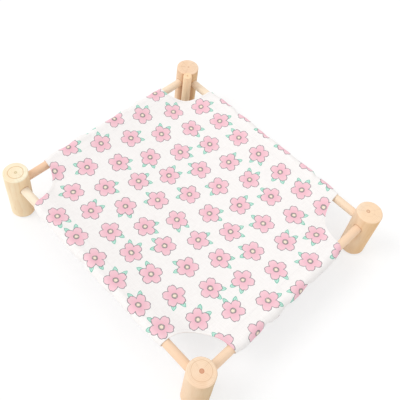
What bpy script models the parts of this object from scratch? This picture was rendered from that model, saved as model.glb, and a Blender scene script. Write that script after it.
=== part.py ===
"""A low wooden cat bed: four round log posts, four round rails let into them, and a cloth with a sewn
sleeve round each rail, stretched between the posts as a hammock. A short upright peg is pinned to the
inner side of the back right post, and a felt pad is under each post.

Metres, +Z up. The origin is on the floor, under the middle of the bed. +Y runs along the longer side.
Front is -Y, back is +Y, left is -X and right is +X.
"""

import math

import bmesh
import bpy
from mathutils import Vector

# Posts
POST_SPACING_X = 0.480  # between the post axes, left to right
POST_SPACING_Y = 0.537  # between the post axes, front to back
FRONT_POST_DIAMETER = 0.054
BACK_POST_DIAMETER = 0.0515
MIDDLE_Y = (FRONT_POST_DIAMETER - BACK_POST_DIAMETER) / 4  # keeps the origin under the middle of the whole
POST_TOP = 0.130  # above the floor
POST_TOP_ROUND = 0.0025  # radius of the rim's rounding
POST_FOOT_ROUND = 0.0015

# Rails, with their axes at one height, and the seats drilled for them in the posts
RAIL_DIAMETER = 0.018
RAIL_BELOW_TOP = 0.036  # from the post's top down to the rail's axis
RAIL_HEIGHT = POST_TOP - RAIL_BELOW_TOP
RAIL_END_CHAMFER = 0.0008
SOCKET_DEPTH = 0.008  # from the post's widest point
SOCKET_CLEARANCE = 0.0003  # all round the rail and at its end

# Double-ended wood screws, one through the bottom of each socket
SCREW_DIAMETER = 0.005
SCREW_IN_POST = 0.010  # from the bottom of the seat to the tip, short of the post's other screw
SCREW_IN_RAIL = 0.020
SCREW_POINT = 0.004
SCREW_CLEARANCE = 0.0003

# Felt pads under the posts
PAD_INSET = 0.005  # from the post's edge to the pad's edge
PAD_THICKNESS = 0.002
PAD_GAP = 0.0003

# The upright peg at the back right post, and the two wooden pins that hold it
PEG_CORNER = "back_right"
PEG_DIAMETER = 0.020
PEG_ABOVE_POST = 0.007  # from the post's top to the peg's top
PEG_FOOT_HEIGHT = 0.012  # above the floor
PEG_ROUND = 0.0015
PEG_GAP = 0.0003  # between the peg and the post
PEG_HOLE_DIAMETER = 0.003  # the small hole in the middle of the peg's top
PEG_HOLE_DEPTH = 0.012
PIN_DIAMETER = 0.006
PIN_IN_POST = 0.011
PIN_IN_PEG = 0.008
PIN_CHAMFER = 0.0008
PIN_CLEARANCE = 0.0003
PIN_FROM_TOP = 0.013  # the upper pin's axis, below the post's top
PIN_FROM_PEG_FOOT = 0.028  # the lower pin's axis, above the peg's foot

# The cloth
CLOTH_THICKNESS = 0.0012
CLOTH_SAG = 0.022  # at the middle, below the cloth's level at the rails
SLEEVE_EASE = 0.0004  # between the rail and the cloth round it
SLEEVE_SEAM = 0.021  # the sleeve's seam, in from the rail's axis
SEAM_WIDTH = 0.003  # where the two layers are one
CORNER_CUTS = {  # reach of the cloth's round cut-out from each post's axis, along X and along Y
    "front_left": (0.078, 0.087),
    "front_right": (0.096, 0.079),
    "back_right": (0.080, 0.079),
    "back_left": (0.073, 0.073),
}

# How finely the curved surfaces are divided
POST_SIDES = 48
RAIL_SIDES = 32
SMALL_SIDES = 16
ROUND_STEPS = 3
SIDE_STEPS = 8  # of the cloth along a rail
CUT_STEPS = 7  # of the cloth round a corner's cut-out
WRAP_STEPS = 9  # of the cloth round a rail
WRAP_START = math.radians(80)  # where the cloth reaches the rail, up from the line to the bed's middle
PANEL_RINGS = (1.0, 0.85, 0.67, 0.47, 0.25)  # shares of the way from the cloth's middle to its seams

SMOOTH_ANGLE = math.radians(35)

# Corners as (x sign, y sign), counter-clockwise from above, and the rail from each to the next
CORNERS = {"front_left": (-1, -1), "front_right": (1, -1), "back_right": (1, 1), "back_left": (-1, 1)}
RAILS = ("front_rail", "right_rail", "back_rail", "left_rail")

COLOURS = {  # colour, roughness
    "post_wood": ((0.86, 0.68, 0.46, 1), 0.6),
    "rail_wood": ((0.90, 0.73, 0.50, 1), 0.55),
    "screw_steel": ((0.60, 0.61, 0.63, 1), 0.35),
    "pad_felt": ((0.45, 0.40, 0.34, 1), 0.95),
    "cloth": ((0.93, 0.89, 0.88, 1), 0.9),
}


def material(name):
    found = bpy.data.materials.get(name)
    if found:
        return found
    made = bpy.data.materials.new(name)
    made.use_nodes = True
    colour, roughness = COLOURS[name]
    shader = made.node_tree.nodes["Principled BSDF"]
    shader.inputs["Base Color"].default_value = colour
    shader.inputs["Roughness"].default_value = roughness
    shader.inputs["Metallic"].default_value = 1.0 if name == "screw_steel" else 0.0
    made.diffuse_color = colour
    return made


def add_object(name, bm, finish):
    """A new object from a bmesh, smooth but for its sharp edges."""
    mesh = bpy.data.meshes.new(name)
    bm.to_mesh(mesh)
    bm.free()
    mesh.shade_smooth()
    mesh.set_sharp_from_angle(angle=SMOOTH_ANGLE)
    mesh.materials.append(material(finish))
    obj = bpy.data.objects.new(name, mesh)
    bpy.context.scene.collection.objects.link(obj)
    return obj


def rounding(radius, level, turn, size, steps=ROUND_STEPS):
    """Profile points of a rim's rounding: turn is 1 from the side up to the top, -1 from the foot to the side."""
    points = []
    for step in range(steps + 1):
        angle = math.pi / 2 * (step / steps if turn > 0 else 1 - step / steps)
        out = radius - size + size * math.cos(angle)
        points.append((out, level + turn * size * (math.sin(angle) - 1)))
    return points


def turned(name, profile, sides, finish, origin=(0, 0, 0), direction=(0, 0, 1)):
    """A solid turned about an axis. The profile runs as (radius, distance along the axis), and both its ends
    are on the axis."""
    bm = bmesh.new()
    rings = []
    for radius, along in profile:
        if radius == 0:
            rings.append([bm.verts.new((0, 0, along))])
            continue
        angles = [2 * math.pi * k / sides for k in range(sides)]
        rings.append([bm.verts.new((radius * math.cos(a), radius * math.sin(a), along)) for a in angles])
    for low, high in zip(rings, rings[1:]):
        for k in range(sides):
            after = (k + 1) % sides
            if len(low) == 1:
                bm.faces.new((low[0], high[after], high[k]))
            elif len(high) == 1:
                bm.faces.new((low[k], low[after], high[0]))
            else:
                bm.faces.new((low[k], low[after], high[after], high[k]))
    bmesh.ops.recalc_face_normals(bm, faces=bm.faces)
    obj = add_object(name, bm, finish)
    obj.location = origin
    obj.rotation_mode = "QUATERNION"
    obj.rotation_quaternion = Vector(direction).to_track_quat("Z", "Y")
    return obj


def cut(obj, cutter):
    """Takes a hidden cutter's shape out of an object."""
    cutter.hide_render = True
    cutter.display_type = "WIRE"
    boolean = obj.modifiers.new(f"cut by {cutter.name}", "BOOLEAN")
    boolean.operation = "DIFFERENCE"
    boolean.object = cutter


def corner_axis(corner, height=0.0):
    """A point on a post's axis."""
    x, y = CORNERS[corner]
    return Vector((x * POST_SPACING_X / 2, y * POST_SPACING_Y / 2 + MIDDLE_Y, height))


def post_radius(corner):
    return (FRONT_POST_DIAMETER if CORNERS[corner][1] < 0 else BACK_POST_DIAMETER) / 2


def seat_bottom(corner):
    """How far from a post's axis its rails' seats end."""
    return post_radius(corner) - SOCKET_DEPTH


def rail_ends():
    """Each rail's name with the corner it starts from and the one it ends at."""
    corners = list(CORNERS)
    return [(rail, corners[k], corners[(k + 1) % len(corners)]) for k, rail in enumerate(RAILS)]


def peg_direction():
    """Level, from the post's axis to the peg's: toward the middle of the bed."""
    x, y = CORNERS[PEG_CORNER]
    return Vector((-x, -y, 0)).normalized()


def peg_axis(height=0.0):
    reach = post_radius(PEG_CORNER) + PEG_GAP + PEG_DIAMETER / 2
    return corner_axis(PEG_CORNER, height) + reach * peg_direction()


def pin_heights():
    """Of the two pins between the post and the peg."""
    return {"upper": POST_TOP - PIN_FROM_TOP, "lower": PEG_FOOT_HEIGHT + PIN_FROM_PEG_FOOT}


def add_posts():
    foot = PAD_THICKNESS + PAD_GAP
    posts = {}
    for corner in CORNERS:
        radius = post_radius(corner)
        profile = [(0, foot)]
        profile += rounding(radius, foot, -1, POST_FOOT_ROUND)
        profile += rounding(radius, POST_TOP, 1, POST_TOP_ROUND)
        profile += [(0, POST_TOP)]
        posts[corner] = turned(
            f"{corner}_post", profile, POST_SIDES, "post_wood", corner_axis(corner)
        )
    return posts


def cut_sockets(posts):
    """A seat for each rail's end, and beyond it the hole that its screw bites in."""
    seat_radius = RAIL_DIAMETER / 2 + SOCKET_CLEARANCE
    hole_radius = SCREW_DIAMETER / 2 + SCREW_CLEARANCE
    for rail, start, end in rail_ends():
        for corner, other in ((start, end), (end, start)):
            bottom, outside = seat_bottom(corner), 2 * post_radius(corner)
            hole_bottom = bottom - SCREW_IN_POST - SCREW_CLEARANCE
            profile = [
                (0, hole_bottom),
                (hole_radius, hole_bottom),
                (hole_radius, bottom),
                (seat_radius, bottom),
                (seat_radius, outside),
                (0, outside),
            ]
            direction = (corner_axis(other) - corner_axis(corner)).normalized()
            origin = corner_axis(corner, RAIL_HEIGHT)
            name = f"cutter_{rail}_{corner}"
            cut(posts[corner], turned(name, profile, RAIL_SIDES, "post_wood", origin, direction))


def add_rails():
    """Rails with a blind hole in each end for its screw."""
    radius = RAIL_DIAMETER / 2
    hole_radius = SCREW_DIAMETER / 2 + SCREW_CLEARANCE
    hole_depth = SCREW_IN_RAIL + SCREW_CLEARANCE
    half = [
        (0, hole_depth),
        (hole_radius, hole_depth),
        (hole_radius, 0),
        (radius - RAIL_END_CHAMFER, 0),
        (radius, RAIL_END_CHAMFER),
    ]
    for rail, start, finish in rail_ends():
        span = corner_axis(finish) - corner_axis(start)
        direction = span.normalized()
        first, last = seat_bottom(start) + SOCKET_CLEARANCE, seat_bottom(finish) + SOCKET_CLEARANCE
        length = span.length - first - last
        profile = half + [(out, length - along) for out, along in reversed(half)]
        origin = corner_axis(start, RAIL_HEIGHT) + first * direction
        turned(rail, profile, RAIL_SIDES, "rail_wood", origin, direction)


def add_screws():
    radius = SCREW_DIAMETER / 2
    for rail, start, end in rail_ends():
        for corner, other in ((start, end), (end, start)):
            tip = seat_bottom(corner) - SCREW_IN_POST
            tail = seat_bottom(corner) + SOCKET_CLEARANCE + SCREW_IN_RAIL
            profile = [(0, tip), (radius, tip + SCREW_POINT), (radius, tail - SCREW_POINT), (0, tail)]
            direction = (corner_axis(other) - corner_axis(corner)).normalized()
            origin = corner_axis(corner, RAIL_HEIGHT)
            turned(f"{rail}_{corner}_screw", profile, SMALL_SIDES, "screw_steel", origin, direction)


def add_foot_pads():
    for corner in CORNERS:
        radius = post_radius(corner) - PAD_INSET
        profile = [(0, 0), (radius, 0), (radius, PAD_THICKNESS), (0, PAD_THICKNESS)]
        turned(f"{corner}_foot_pad", profile, RAIL_SIDES, "pad_felt", corner_axis(corner))


def add_peg(post):
    """The upright peg, its two pins, and the holes that these need in the peg and the post."""
    radius = PEG_DIAMETER / 2
    top = POST_TOP + PEG_ABOVE_POST
    hole_radius = PEG_HOLE_DIAMETER / 2
    profile = [(0, PEG_FOOT_HEIGHT)]
    profile += rounding(radius, PEG_FOOT_HEIGHT, -1, PEG_ROUND)
    profile += rounding(radius, top, 1, PEG_ROUND)
    profile += [(hole_radius, top), (hole_radius, top - PEG_HOLE_DEPTH), (0, top - PEG_HOLE_DEPTH)]
    peg = turned("corner_peg", profile, RAIL_SIDES, "rail_wood", peg_axis())

    surface = post_radius(PEG_CORNER)
    near, far = surface - PIN_IN_POST, surface + PEG_GAP + PIN_IN_PEG
    pin_radius = PIN_DIAMETER / 2
    pin = [
        (0, near),
        (pin_radius - PIN_CHAMFER, near),
        (pin_radius, near + PIN_CHAMFER),
        (pin_radius, far - PIN_CHAMFER),
        (pin_radius - PIN_CHAMFER, far),
        (0, far),
    ]
    hole = [
        (0, near - PIN_CLEARANCE),
        (pin_radius + PIN_CLEARANCE, near - PIN_CLEARANCE),
        (pin_radius + PIN_CLEARANCE, far + PIN_CLEARANCE),
        (0, far + PIN_CLEARANCE),
    ]
    for place, height in pin_heights().items():
        origin = corner_axis(PEG_CORNER, height)
        turned(f"corner_peg_{place}_pin", pin, SMALL_SIDES, "rail_wood", origin, peg_direction())
        name = f"cutter_peg_{place}_pin"
        cutter = turned(name, hole, SMALL_SIDES, "rail_wood", origin, peg_direction())
        cut(post, cutter)
        cut(peg, cutter)


def wrap_angles():
    """Where the cloth round a rail starts and ends, as angles up from the level line to the bed's middle. It
    ends where the lower layer leaves the rail for the seam."""
    inner = RAIL_DIAMETER / 2 + SLEEVE_EASE
    outer = inner + CLOTH_THICKNESS
    to_seam = math.atan2(inner, SLEEVE_SEAM) - math.acos(outer / math.hypot(inner, SLEEVE_SEAM))
    end = 2 * math.pi + to_seam
    return [WRAP_START + (end - WRAP_START) * k / WRAP_STEPS for k in range(WRAP_STEPS + 1)]


def sleeve_radii():
    """Inner and outer radius of the cloth round a rail, at the corners of its facets."""
    first, second = wrap_angles()[:2]
    inner = (RAIL_DIAMETER / 2 + SLEEVE_EASE) / math.cos((second - first) / 2)
    return inner, inner + CLOTH_THICKNESS


def cloth_level(x, y):
    """Height of the middle of the cloth's thickness, inside its seams."""
    at_rails = RAIL_HEIGHT + sleeve_radii()[1] - CLOTH_THICKNESS / 2
    across = 1 - (2 * x / POST_SPACING_X) ** 2
    along = 1 - (2 * (y - MIDDLE_Y) / POST_SPACING_Y) ** 2
    return at_rails - CLOTH_SAG * across * along


def cut_reaches(corner, direction):
    """Reach of a corner's cut-out along a direction, and square to it."""
    reach_x, reach_y = CORNER_CUTS[corner]
    return (reach_x, reach_y) if abs(direction.x) > abs(direction.y) else (reach_y, reach_x)


def on_side(start, end, share, depth):
    """A point beside a rail: a share of the way along the cloth, and depth in from the rail's axis."""
    from_post, to_post = corner_axis(start), corner_axis(end)
    along = (to_post - from_post).normalized()
    inward = Vector((-along.y, along.x, 0))
    first, last = [
        reach * math.sqrt(1 - (depth / square) ** 2)
        for reach, square in (cut_reaches(start, along), cut_reaches(end, along))
    ]
    length = (to_post - from_post).length - first - last
    return from_post + along * (first + share * length) + inward * depth


def sleeve_section():
    """The sleeve's section, as (depth, height over the rail's axis) pairs for its outer and inner side, from
    the seam over the rail, round it and back to the seam. A height of None is on the panel's own face."""
    inner_radius, outer_radius = sleeve_radii()
    outer = [(SLEEVE_SEAM, None), (SLEEVE_SEAM / 2, None)]
    inner = [(SLEEVE_SEAM - SEAM_WIDTH, None), (SLEEVE_SEAM / 2, None)]
    for angle in wrap_angles():
        outer.append((outer_radius * math.cos(angle), outer_radius * math.sin(angle)))
        inner.append((inner_radius * math.cos(angle), inner_radius * math.sin(angle)))
    return outer, inner


def add_cloth():
    """One closed body: the sagging panel, a tube round each rail, and a round cut-out at each corner."""
    bm = bmesh.new()
    half = CLOTH_THICKNESS / 2

    def vertex(point, over):
        """On the panel's upper face (over 1) or lower face (over -1)."""
        return bm.verts.new((point.x, point.y, cloth_level(point.x, point.y) + over * half))

    # The line of the seams, closed by the corner cut-outs
    seam_line, side_starts = [], []
    for _, start, end in rail_ends():
        side_starts.append(len(seam_line))
        seam_line += [on_side(start, end, k / SIDE_STEPS, SLEEVE_SEAM) for k in range(SIDE_STEPS + 1)]
        post = corner_axis(end)
        back = (corner_axis(start) - post).normalized()
        inward = Vector((back.y, -back.x, 0))
        reach, square = cut_reaches(end, back)
        first, last = math.asin(SLEEVE_SEAM / square), math.acos(SLEEVE_SEAM / reach)
        for k in range(1, CUT_STEPS):
            angle = first + (last - first) * k / CUT_STEPS
            seam_line.append(post + reach * math.cos(angle) * back + square * math.sin(angle) * inward)
    count = len(seam_line)

    # The panel's two faces, as rings from the seams to the middle
    faces = {}
    for over in (1, -1):
        rings = [[vertex(point * share, over) for point in seam_line] for share in PANEL_RINGS]
        middle = vertex(Vector((0, 0, 0)), over)
        for outer, inner in zip(rings, rings[1:]):
            for k in range(count):
                bm.faces.new((outer[k], outer[(k + 1) % count], inner[(k + 1) % count], inner[k]))
        for k in range(count):
            bm.faces.new((rings[-1][k], rings[-1][(k + 1) % count], middle))
        faces[over] = rings[0]
    upper, lower = faces[1], faces[-1]

    # The sleeves, and the cut edges between them
    outer_section, inner_section = sleeve_section()
    for side, (_, start, end) in enumerate(rail_ends()):
        first = side_starts[side]
        skins = []
        for k in range(SIDE_STEPS + 1):
            skin = [upper[first + k]]
            for depth, height in outer_section[1:]:
                point = on_side(start, end, k / SIDE_STEPS, depth)
                if height is None:
                    skin.append(vertex(point, 1))
                else:
                    skin.append(bm.verts.new((point.x, point.y, RAIL_HEIGHT + height)))
            skin.append(lower[first + k])
            skins.append(skin)
        for skin, after in zip(skins, skins[1:]):
            for k in range(len(skin) - 1):
                bm.faces.new((skin[k], skin[k + 1], after[k + 1], after[k]))
        bores = []
        for share in (0, 1):
            bore = []
            for depth, height in inner_section:
                point = on_side(start, end, share, depth)
                level = cloth_level(point.x, point.y) - half if height is None else RAIL_HEIGHT + height
                bore.append(bm.verts.new((point.x, point.y, level)))
            apex = bore[0].co
            bore.append(bm.verts.new((apex.x, apex.y, apex.z - half)))
            bores.append(bore)
        rim = len(bores[0])
        for k in range(rim):
            after = (k + 1) % rim
            bm.faces.new((bores[0][k], bores[0][after], bores[1][after], bores[1][k]))
            for skin, bore in ((skins[0], bores[0]), (skins[-1], bores[1])):
                bm.faces.new((skin[k], skin[after], bore[after], bore[k]))
        for k in range(first + SIDE_STEPS, first + SIDE_STEPS + CUT_STEPS):
            after = (k + 1) % count
            bm.faces.new((upper[k % count], upper[after], lower[after], lower[k % count]))
    bmesh.ops.recalc_face_normals(bm, faces=bm.faces)
    add_object("hammock_cloth", bm, "cloth")


def build():
    for obj in list(bpy.data.objects):
        bpy.data.objects.remove(obj, do_unlink=True)
    posts = add_posts()
    cut_sockets(posts)
    add_rails()
    add_screws()
    add_foot_pads()
    add_peg(posts[PEG_CORNER])
    add_cloth()


build()
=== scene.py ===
"""Looks for a low wooden cat bed: four round log posts, four rails between them, a printed cloth sewn round
the rails and stretched between them, and an upright peg pinned to the back right post.

Metres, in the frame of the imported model. Front is -Y and left is -X.
"""

import math
import random

import bmesh
import bpy
import numpy as np
from mathutils import Matrix, Vector, noise
from mathutils.bvhtree import BVHTree


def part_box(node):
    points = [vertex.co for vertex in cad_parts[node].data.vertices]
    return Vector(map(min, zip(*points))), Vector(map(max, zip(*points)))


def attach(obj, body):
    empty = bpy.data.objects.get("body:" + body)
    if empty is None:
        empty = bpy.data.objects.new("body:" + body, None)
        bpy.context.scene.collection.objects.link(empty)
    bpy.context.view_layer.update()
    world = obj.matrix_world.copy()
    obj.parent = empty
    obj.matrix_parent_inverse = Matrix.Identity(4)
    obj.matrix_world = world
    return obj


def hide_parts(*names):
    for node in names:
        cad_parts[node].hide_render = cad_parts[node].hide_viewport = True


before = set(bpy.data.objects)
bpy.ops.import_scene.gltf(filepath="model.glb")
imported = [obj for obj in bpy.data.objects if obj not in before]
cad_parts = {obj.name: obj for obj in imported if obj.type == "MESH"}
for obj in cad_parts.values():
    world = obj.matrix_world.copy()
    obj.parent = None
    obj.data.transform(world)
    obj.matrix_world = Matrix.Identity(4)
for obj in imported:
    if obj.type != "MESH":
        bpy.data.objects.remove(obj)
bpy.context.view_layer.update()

# The camera, at the photograph's place
CAMERA_PLACE = (-0.54494, -0.43837, 1.13587)
CAMERA_TURN = (0.65526, -0.08243, -0.76320)
CAMERA_LENS, SENSOR_WIDTH = 54.626, 36  # mm
CAMERA_SHIFT = (0.025, -0.100)  # the photograph is cut out of a larger one

# Counter-clockwise from above, and the rail from each corner to the next
CORNERS = ("front_left", "front_right", "back_right", "back_left")
RAILS = ("front_rail", "right_rail", "back_rail", "left_rail")
PEG_CORNER = "back_right"
TUCKS = {  # of the cloth on each rail, as shares of the way from post to post
    "front_rail": (0.335, 0.585),
    "right_rail": (0.27, 0.71),
    "back_rail": (0.62,),
    "left_rail": (0.44,),
}


def middle(node):
    low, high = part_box(node)
    return (low + high) / 2


def size(node):
    low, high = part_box(node)
    return high - low


def clip(value):
    return min(1.0, max(0.0, value))


AXES = {corner: Vector((*middle(f"{corner}_post").xy, 0)) for corner in CORNERS}
POST_RADII = {corner: size(f"{corner}_post").x / 2 for corner in CORNERS}
POST_FOOT, POST_TOP = [point.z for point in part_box("front_left_post")]
RAIL_LEVEL = middle("front_rail").z
RAIL_RADIUS = size("front_rail").z / 2
PEG_DIRECTION = Vector((*(middle("corner_peg") - AXES[PEG_CORNER]).xy, 0)).normalized()  # from its post


class Side:
    """One side of the bed: its rail, the corners where it starts and ends, and the ways along and in."""

    def __init__(self, number):
        self.rail = RAILS[number]
        self.start, self.end = CORNERS[number], CORNERS[(number + 1) % 4]
        self.origin = AXES[self.start]
        across = AXES[self.end] - self.origin
        self.length = across.length
        self.along = across.normalized()
        self.inward = Vector((-self.along.y, self.along.x, 0))
        self.tucks = [share * self.length for share in TUCKS[self.rail]]


SIDES = [Side(number) for number in range(4)]

# Where the rails' ends and the screws sit in the posts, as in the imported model
SEAT_DEPTH = 0.008
CLEARANCE = 0.0003
SCREW_IN_POST = 0.010
SCREW_RADIUS = 0.0025

# How round, rounded and uneven the woods are, and the depth that counts as a cut end
POST_SIDES, ROD_SIDES, SEAT_SIDES, PIN_SIDES = 112, 56, 64, 32
POST_FOOT_RIM, POST_TOP_RIM, RAIL_RIM, PEG_RIM = 0.0018, 0.0028, 0.0010, 0.0018
POST_SWELL, RAIL_SWELL, PEG_SWELL = 0.0008, 0.00016, 0.00018
END_DEPTH = 0.0012
PEG_HOLE_RADIUS, PEG_HOLE_DEPTH = 0.0015, 0.012
SHADED_SIDE_BEARING = -0.77  # the bearing of the posts' side that faces away from the key lamp, where the painted shade on their sides is strongest
POST_LOOKS = {  # seed, rings' middle across the post, pith and heartwood radius, knots as (height, bearing)
    "front_left": (3, (0.0012, 0.0010), 0.0048, 0.0188, [(0.046, 0.9), (0.088, 0.1)]),
    "front_right": (8, (-0.0014, 0.0036), 0.0042, 0.0130, [(0.035, 0.4), (0.070, 1.3)]),
    "back_right": (5, (0.0010, -0.0008), 0.0030, 0.0165, [(0.060, 0.6)]),
    "back_left": (11, (0.0004, -0.0006), 0.0036, 0.0156, [(0.030, 1.2), (0.098, 0.3)]),
}
RAIL_TONES = {  # cream at 0, peach at 1 and orange at 2, where the rail starts and where it ends
    "front_rail": (0.8, 0.95),
    "right_rail": (0.6, 0.0),
    "back_rail": (0.2, 1.9),
    "left_rail": (0.1, 1.0),
}
PLAIN_HEART = 0.02  # heartwood radius of the thin woods, whose rings' middle lies outside them

# The cloth
CLOTH_THICKNESS = 0.0009
CLOTH_SAG = 0.022
CLOTH_EXCESS = (1.0075, 1.0068)  # of the panel's own width and length over the place it hangs in
SLEEVE_SEAM = 0.021  # in from the rail's axis
SLEEVE_RADIUS = RAIL_RADIUS + 0.0009  # of the middle of the cloth's thickness, round a rail
WRAP_START = math.radians(80)  # up from the level line to the bed's middle
PANEL_EDGE = SLEEVE_RADIUS * math.cos(WRAP_START)  # in from the rail's axis
SEAM_ALLOWANCE = 0.004
HEM_WIDTH = 0.006
HEM_THICKENING = 1.9
CORNER_CUTS = {  # reach of the cut-out from the post's axis, along X and along Y
    "front_left": (0.078, 0.087),
    "front_right": (0.096, 0.079),
    "back_right": (0.080, 0.079),
    "back_left": (0.073, 0.073),
}
SLEEVE_SLANTS = {  # how much further from the post a sleeve's end is underneath than on top, the same ways
    "front_left": (0.003, 0.002),
    "front_right": (0.013, 0.003),
    "back_right": (0.000, 0.011),
    "back_left": (0.004, 0.009),
}
HEM_DROOP = 0.008  # of the cut-outs' edges, which nothing holds up
SLEEVE_SLACK = 0.0062  # of the sleeve's outer and lower side, where it bulges most
FOLD_RISE = 0.0013  # of the folds on top of the rails
FOLD_PITCHES, BULGE_PITCHES, SHIFT_PITCHES = (0.014, 0.05), (0.045, 0.13), (0.03, 0.09)
TUCK_SLANT = 0.005  # along the rail, for each radian round it
TUCK_WIDTHS = (0.017, 0.006)  # before the crease and after it
RELAX_STEPS = 2500  # for the panel's grid
SIDE_CELLS = {"front_rail": 72, "right_rail": 80, "back_rail": 72, "left_rail": 80}
NOTCH_CELLS = 8  # of the corner cut-outs, each way
STRIP_CELLS = 4  # between the seam and the rail
WRAP_CELLS = 15
LOWER_CELLS = 4
ALLOWANCE_CELLS = 2
CLOTH_FRAMES = 60
CLOTH_SETTINGS = {
    "quality": 12, "mass": 0.002, "air_damping": 2.0,
    "tension_stiffness": 60, "compression_stiffness": 30, "shear_stiffness": 8, "bending_stiffness": 0.02,
    "tension_damping": 10, "compression_damping": 10, "shear_damping": 5, "bending_damping": 0.5,
}

# The light: of the lamp, and what the camera sees of the floor and other rays see
KEY_STRENGTH, KEY_SPREAD, KEY_FROM = 0.95, math.radians(28), (-0.72, 0.62, 1.15)
FLOOR_SEEN, FLOOR_GLOW_SEEN, FLOOR_TO_OTHERS = 0.42, 0.61, 0.92
SURROUND_STRENGTH = 0.80

# The print
PRINT_PITCH = 0.0615
PRINT_SHIFT = (0.016, 0.006)
PETAL_REACH = 0.0222
LEAF_OUT, LEAF_LEAN = 0.0212, 0.42
LEAF_HALF_LENGTH, LEAF_HALF_WIDTH = 0.0088, 0.0040
WEAVE_PITCH = 0.00055

# The stitches, with their shape as (share of the length, rise, thickness), the latter in thread radii
STITCH_LENGTH, STITCH_GAP, THREAD_RADIUS, THREAD_SIDES = 0.0028, 0.0010, 0.00026, 6
STITCH_SHAPE = ((0, -0.7, 0.3), (0.12, 0.25, 0.9), (0.5, 0.7, 1), (0.88, 0.25, 0.9), (1, -0.7, 0.3))
THREAD_TWIST = 0.0007


class Field:
    """A value that varies over a surface, for writing shader nodes as formulas."""

    def __init__(self, shader, socket):
        self.shader = shader
        self.socket = socket

    def __add__(self, other):
        return self.shader.math("ADD", self, other)

    def __sub__(self, other):
        return self.shader.math("SUBTRACT", self, other)

    def __rsub__(self, other):
        return self.shader.math("SUBTRACT", other, self)

    def __mul__(self, other):
        return self.shader.math("MULTIPLY", self, other)

    def __truediv__(self, other):
        return self.shader.math("DIVIDE", self, other)

    def __abs__(self):
        return self.shader.math("ABSOLUTE", self)


class Shader:
    """A new material and the nodes that feed its surface."""

    def __init__(self, name, **fixed):
        self.material = bpy.data.materials.new(name)
        self.material.use_nodes = True
        self.tree = self.material.node_tree
        self.surface = self.tree.nodes["Principled BSDF"]
        for socket, value in fixed.items():
            self.surface.inputs[socket.replace("_", " ")].default_value = value

    def set(self, socket, value):
        if isinstance(value, Field):
            self.tree.links.new(value.socket, socket)
        else:
            socket.default_value = value

    def add(self, kind, inputs=(), output=0, **settings):
        node = self.tree.nodes.new(kind)
        for name, value in settings.items():
            setattr(node, name, value)
        for socket, value in inputs:
            self.set(node.inputs[socket], value)
        return Field(self, node.outputs[output])

    def math(self, operation, *values):
        return self.add("ShaderNodeMath", enumerate(values), operation=operation)

    def attribute(self, name, output="Vector"):
        return self.add("ShaderNodeAttribute", output=output, attribute_name=name)

    def split(self, vector):
        node = self.add("ShaderNodeSeparateXYZ", [(0, vector)]).socket.node
        return [Field(self, node.outputs[k]) for k in range(3)]

    def join(self, *values):
        return self.add("ShaderNodeCombineXYZ", enumerate(values))

    def scaled(self, vector, factors):
        return self.add("ShaderNodeVectorMath", [(0, vector), (1, factors)], operation="MULTIPLY")

    def noise(self, vector, scale, detail=2.0, roughness=0.5, output="Fac"):
        inputs = [("Vector", vector), ("Scale", scale), ("Detail", detail), ("Roughness", roughness)]
        return self.add("ShaderNodeTexNoise", inputs, output=output)

    def ramp(self, value, start, end, low=0.0, high=1.0):
        """Smooth from low where value is start to high where it is end."""
        inputs = [("Value", value), ("From Min", start), ("From Max", end), ("To Min", low), ("To Max", high)]
        return self.add("ShaderNodeMapRange", inputs, interpolation_type="SMOOTHSTEP")

    def line(self, distance, faint=0.0011, full=0.0002):
        """1 where distance is nearer to 0 than full, and 0 beyond faint."""
        return self.ramp(abs(distance), faint, full)

    def mix(self, share, first, second):
        """Of two colours."""
        inputs = [(0, share), (6, first), (7, second)]
        return self.add("ShaderNodeMix", inputs, output=2, data_type="RGBA")

    def cover(self, tone, *layers):
        """Lays colours over a tone, one after another, as (share, colour) pairs."""
        for share, over in layers:
            tone = self.mix(share, tone, over)
        return tone

    def finish(self, tone, roughness, height, depth, strength):
        """Feeds the surface. The relief's height goes from 0 to 1 and stands for a depth in metres."""
        inputs = [("Strength", strength), ("Distance", depth), ("Height", height)]
        relief = self.add("ShaderNodeBump", inputs)
        for name, value in (("Base Color", tone), ("Roughness", roughness), ("Normal", relief)):
            self.set(self.surface.inputs[name], value)
        return self.material


def colour(red, green, blue):
    """From the 0 to 255 values of a picture to a shader's."""
    values = [v / 255 for v in (red, green, blue)]
    return (*[v / 12.92 if v <= 0.04045 else ((v + 0.055) / 1.055) ** 2.4 for v in values], 1)


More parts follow.
